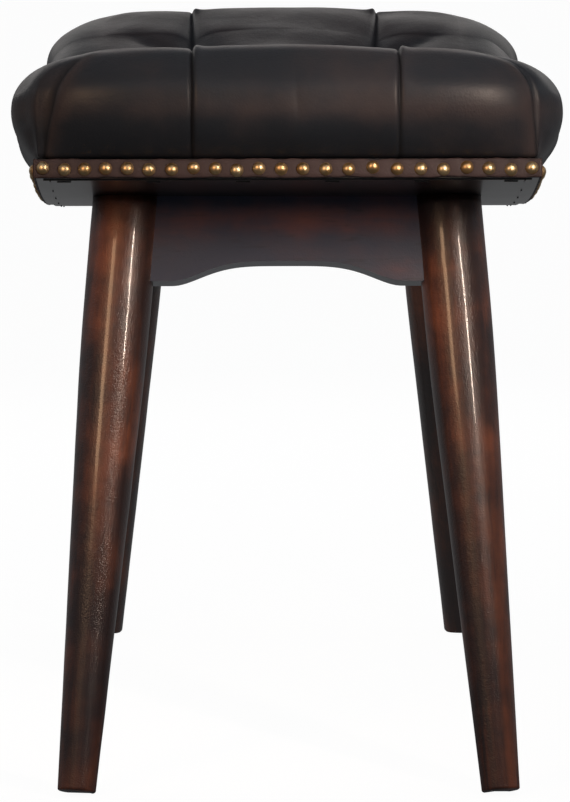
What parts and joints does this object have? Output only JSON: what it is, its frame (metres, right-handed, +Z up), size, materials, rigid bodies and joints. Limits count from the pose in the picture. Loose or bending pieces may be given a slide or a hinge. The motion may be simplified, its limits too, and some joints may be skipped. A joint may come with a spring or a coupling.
{
  "type": "upholstered bench",
  "caption": "Low bench with an upturned, deep-buttoned leather seat, nail-trimmed edge and splayed, turned and tapered wooden legs.",
  "frame": {"origin": "on the floor, under the middle of the bench", "axes": "+X along the bench towards its right end, +Y from front to back, +Z up"},
  "size_m": [0.906, 0.406, 0.5454],
  "materials": {
    "leg_wood": "dark walnut stain under gloss lacquer, worn a little along the legs",
    "rail_wood": "near black walnut stain under gloss lacquer",
    "block_wood": "raw hardwood",
    "board_wood": "bent plywood",
    "seat_leather": "waxed black-brown hide with a soft gloss",
    "band_leather": "dark brown hide strip, satin",
    "antique_brass": "antique brass, polished domes",
    "under_cloth": "black coated lining cloth with a gloss",
    "foam": "cut upholstery foam",
    "twine": "waxed button twine",
    "black_wire": "black painted staple wire",
    "zinc_steel": "zinc plated"
  },
  "bodies": {
    "root": {"front_left_leg": "leg_wood", "front_right_leg": "leg_wood", "back_left_leg": "leg_wood", "back_right_leg": "leg_wood", "left_end_rail": "rail_wood", "right_end_rail": "rail_wood", "front_rail": "rail_wood", "back_rail": "rail_wood", "front_left_block": "block_wood", "front_right_block": "block_wood", "back_left_block": "block_wood", "back_right_block": "block_wood", "block_screws": "zinc_steel", "seat_screws": "zinc_steel", "cover_staples": "black_wire", "seat_board": "board_wood", "foam_core": "foam", "leather_cushion": "seat_leather", "tuft_buttons": "seat_leather", "button_ties": "twine", "dust_cover": "under_cloth", "left_end_band": "band_leather", "right_end_band": "band_leather", "front_band": "band_leather", "back_band": "band_leather", "left_end_nails": "antique_brass", "right_end_nails": "antique_brass", "front_nails": "antique_brass", "back_nails": "antique_brass"}
  },
  "joints": []
}
